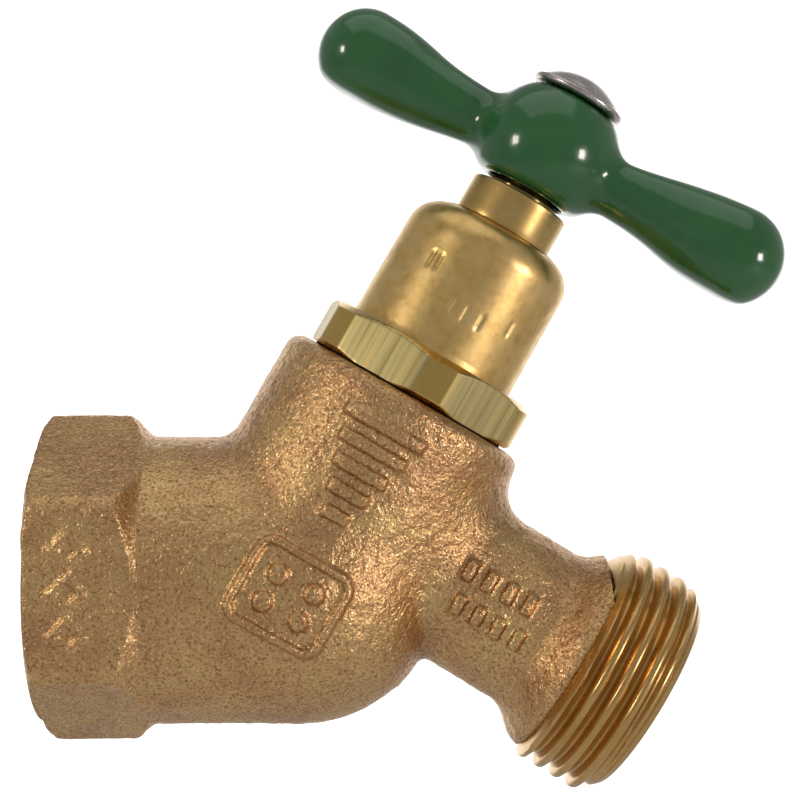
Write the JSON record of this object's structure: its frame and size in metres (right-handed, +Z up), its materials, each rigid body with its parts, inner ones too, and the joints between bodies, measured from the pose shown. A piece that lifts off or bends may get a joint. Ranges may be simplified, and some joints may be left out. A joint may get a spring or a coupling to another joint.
{
  "type": "hose bib",
  "caption": "Angle-pattern outdoor tap: cast bronze body with female pipe inlet and male garden-hose outlet, brass bonnet, rising stem and painted tee handle.",
  "frame": {"origin": "centre of the inlet's end face, on the axis of the supply pipe", "axes": "+X away from the supply pipe, +Z up, +Y across and away from the side that carries the raised marks"},
  "size_m": [0.0836, 0.033, 0.0898],
  "materials": {
    "cast_bronze": "sand-cast bronze, coarse grain, machined on the outlet thread",
    "turned_brass": "satin turned brass",
    "stem_brass": "polished turned brass",
    "inner_brass": "plain turned brass",
    "green_paint": "dark green gloss enamel on a casting",
    "nickel_plate": "bright nickel plate",
    "gasket_fibre": "matte compressed fibre",
    "graphite_packing": "matte graphited packing",
    "washer_rubber": "matte black rubber",
    "spring_steel": "bright spring steel"
  },
  "bodies": {
    "valve": {"valve_body": "cast_bronze", "seat_ring": "inner_brass", "bonnet_gasket": "gasket_fibre", "bonnet": "turned_brass", "packing_washer": "inner_brass", "packing_ring_lower": "graphite_packing", "packing_ring_upper": "graphite_packing", "packing_gland": "turned_brass"},
    "washer_carrier": {"washer_holder": "inner_brass", "swivel_clip": "spring_steel", "seat_washer": "washer_rubber", "washer_screw": "inner_brass"},
    "spindle": {"stem": "stem_brass", "handle": "green_paint", "handle_screw": "nickel_plate"}
  },
  "joints": [
    {"name": "washer_lift", "type": "slide", "parent": "valve", "child": "washer_carrier", "axis": [0.5, 0, 0.866], "range_m": [0, 0.00698]},
    {"name": "handle_turn", "type": "hinge", "parent": "washer_carrier", "child": "spindle", "pos_m": [0.029, 0, 0], "axis": [0.5, 0, 0.866], "range_deg": [0, 990]}
  ],
  "couplings": [
    {"joint": "handle_turn", "follows": "washer_lift", "rad_per_m": 2473.7}
  ]
}
